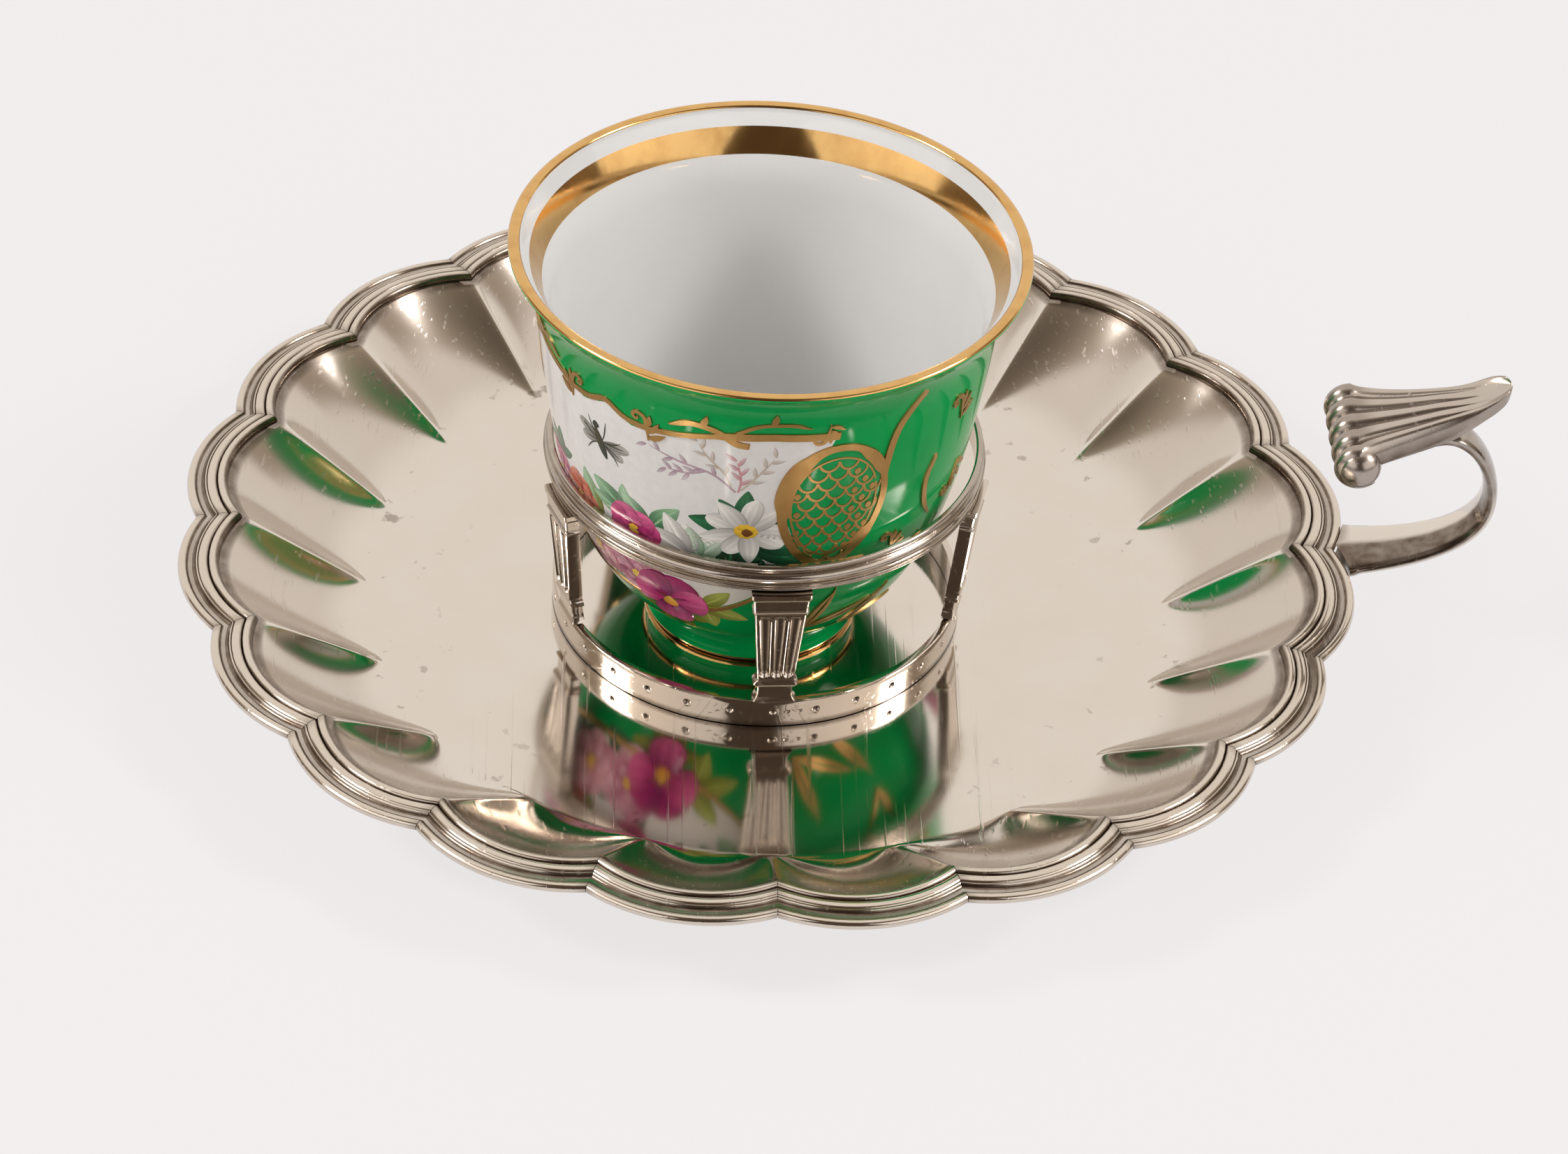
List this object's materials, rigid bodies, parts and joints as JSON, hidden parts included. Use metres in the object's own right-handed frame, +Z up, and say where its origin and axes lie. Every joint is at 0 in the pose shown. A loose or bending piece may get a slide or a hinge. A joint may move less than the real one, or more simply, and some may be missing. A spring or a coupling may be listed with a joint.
{
  "type": "mancerina cup and saucer",
  "caption": "Lobed silver saucer with a reeded border, a fluted ring of posts that holds a painted porcelain chocolate cup, and a finger loop with a ribbed thumb rest.",
  "frame": {"origin": "centre of the flat underside of the saucer, on the axis of the dish", "axes": "+Z up out of the cup, +X from the axis out along the handle"},
  "size_m": [0.211, 0.1884, 0.071],
  "materials": {
    "polished_silver": "hand polished solid silver with fine scratches",
    "reeded_silver": "polished drawn silver moulding, tarnish in the grooves",
    "holder_silver": "polished cast silver, tarnish in the flutes",
    "cast_silver": "polished cast silver, tarnish between the ribs",
    "painted_porcelain": "glazed porcelain, green ground, painted flowers, gilding"
  },
  "bodies": {
    "saucer": {"dish": "polished_silver", "rim_moulding_01": "reeded_silver", "rim_moulding_02": "reeded_silver", "rim_moulding_03": "reeded_silver", "rim_moulding_04": "reeded_silver", "rim_moulding_05": "reeded_silver", "rim_moulding_06": "reeded_silver", "rim_moulding_07": "reeded_silver", "rim_moulding_08": "reeded_silver", "rim_moulding_09": "reeded_silver", "rim_moulding_10": "reeded_silver", "rim_moulding_11": "reeded_silver", "rim_moulding_12": "reeded_silver", "rim_moulding_13": "reeded_silver", "rim_moulding_14": "reeded_silver", "rim_moulding_15": "reeded_silver", "rim_moulding_16": "reeded_silver", "rim_moulding_17": "reeded_silver", "rim_moulding_18": "reeded_silver", "rim_moulding_19": "reeded_silver", "rim_moulding_20": "reeded_silver", "holder_base_band": "holder_silver", "holder_post_1": "holder_silver", "holder_post_2": "holder_silver", "holder_post_3": "holder_silver", "holder_post_4": "holder_silver", "holder_post_5": "holder_silver", "holder_collar": "holder_silver", "handle_strap": "polished_silver", "thumb_rest": "cast_silver"},
    "cup": {"cup": "painted_porcelain"}
  },
  "joints": [
    {"name": "cup_lift", "type": "slide", "parent": "saucer", "child": "cup", "axis": [0, 0, 1], "range_m": [0, 0.06]}
  ]
}
